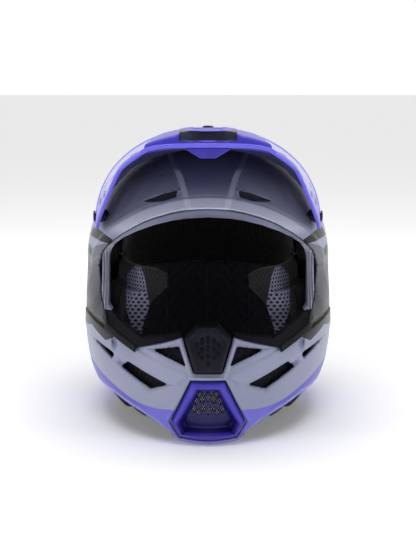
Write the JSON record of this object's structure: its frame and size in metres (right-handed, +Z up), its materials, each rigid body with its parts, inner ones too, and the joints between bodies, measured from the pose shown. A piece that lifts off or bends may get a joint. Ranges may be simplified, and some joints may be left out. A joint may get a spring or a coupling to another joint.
{
  "type": "motocross helmet",
  "caption": "Full-face off-road helmet with a jutting vented chin bar, a tilting peak, a removable lining and a double-ring chin strap.",
  "frame": {"origin": "centre of the neck opening, on the plane the helmet stands on", "axes": "+Z up, -Y the way the wearer faces, +X to the right as seen by someone facing the helmet"},
  "size_m": [0.2512, 0.3815, 0.2848],
  "materials": {
    "shell_paint": "high gloss",
    "peak_plastic": "satin gloss",
    "purple_plastic": "satin gloss",
    "black_plastic": "matt",
    "nose_plastic": "soft matt",
    "rubber": "matt",
    "trim_plastic": "satin",
    "mesh_wire": "matt",
    "foam": "matt",
    "lining": "knitted mesh",
    "webbing": "woven",
    "tab": "woven",
    "steel": "polished",
    "fixing": "anodised"
  },
  "bodies": {
    "helmet": {"shell": "shell_paint", "base_trim": "rubber", "eyeport_trim_upper": "trim_plastic", "nose_guard": "nose_plastic", "chin_vent_insert": "purple_plastic", "chin_filter": "mesh_wire", "chin_foam": "foam", "nape_pad": "lining", "neck_roll": "lining", "centre_post": "black_plastic", "centre_screw": "fixing", "eyeport_trim_lower_left": "rubber", "eyeport_trim_lower_right": "rubber", "chin_side_mesh_left": "mesh_wire", "chin_side_mesh_right": "mesh_wire", "brow_mesh_left": "mesh_wire", "brow_mesh_right": "mesh_wire", "rear_upper_grille_left": "black_plastic", "rear_upper_grille_right": "black_plastic", "rear_lower_grille_left": "black_plastic", "rear_lower_grille_right": "black_plastic", "impact_liner_left": "foam", "impact_liner_right": "foam", "cheek_foam_left": "foam", "cheek_foam_right": "foam", "cheek_pad_left": "lining", "cheek_pad_right": "lining", "crown_pad_left": "lining", "crown_pad_right": "lining", "release_tab_left": "tab", "release_tab_right": "tab", "strap_anchor_left": "webbing", "strap_anchor_right": "webbing", "strap_rivet_left": "steel", "strap_rivet_right": "steel", "peak_insert_left": "black_plastic", "peak_insert_right": "black_plastic", "peak_screw_left": "fixing", "peak_screw_right": "fixing"},
    "peak": {"peak": "peak_plastic", "peak_intake_mesh": "mesh_wire", "peak_tongue": "purple_plastic"},
    "strap_left": {"chin_strap_rings": "webbing"},
    "strap_right": {"chin_strap_tail": "webbing", "strap_snap": "black_plastic"},
    "ring_lower": {"d_ring_lower": "steel"},
    "ring_upper": {"d_ring_upper": "steel"}
  },
  "joints": [
    {"name": "peak_tilt", "type": "hinge", "parent": "helmet", "child": "peak", "pos_m": [0, -0.06, 0.197], "axis": [1, 0, 0], "range_deg": [-4, 8]},
    {"name": "strap_left_swing", "type": "hinge", "parent": "helmet", "child": "strap_left", "pos_m": [-0.084, 0.017, 0.01], "axis": [0, 1, 0], "range_deg": [0, 60]},
    {"name": "strap_right_swing", "type": "hinge", "parent": "helmet", "child": "strap_right", "pos_m": [0.084, 0.017, 0.0076], "axis": [0, -1, 0], "range_deg": [0, 40]},
    {"name": "ring_lower_turn", "type": "hinge", "parent": "strap_left", "child": "ring_lower", "pos_m": [-0.026, 0.017, 0.00785], "axis": [0, 1, 0], "range_deg": [0, 60]},
    {"name": "ring_upper_turn", "type": "hinge", "parent": "strap_left", "child": "ring_upper", "pos_m": [-0.026, 0.017, 0.01215], "axis": [0, -1, 0], "range_deg": [0, 60]}
  ]
}
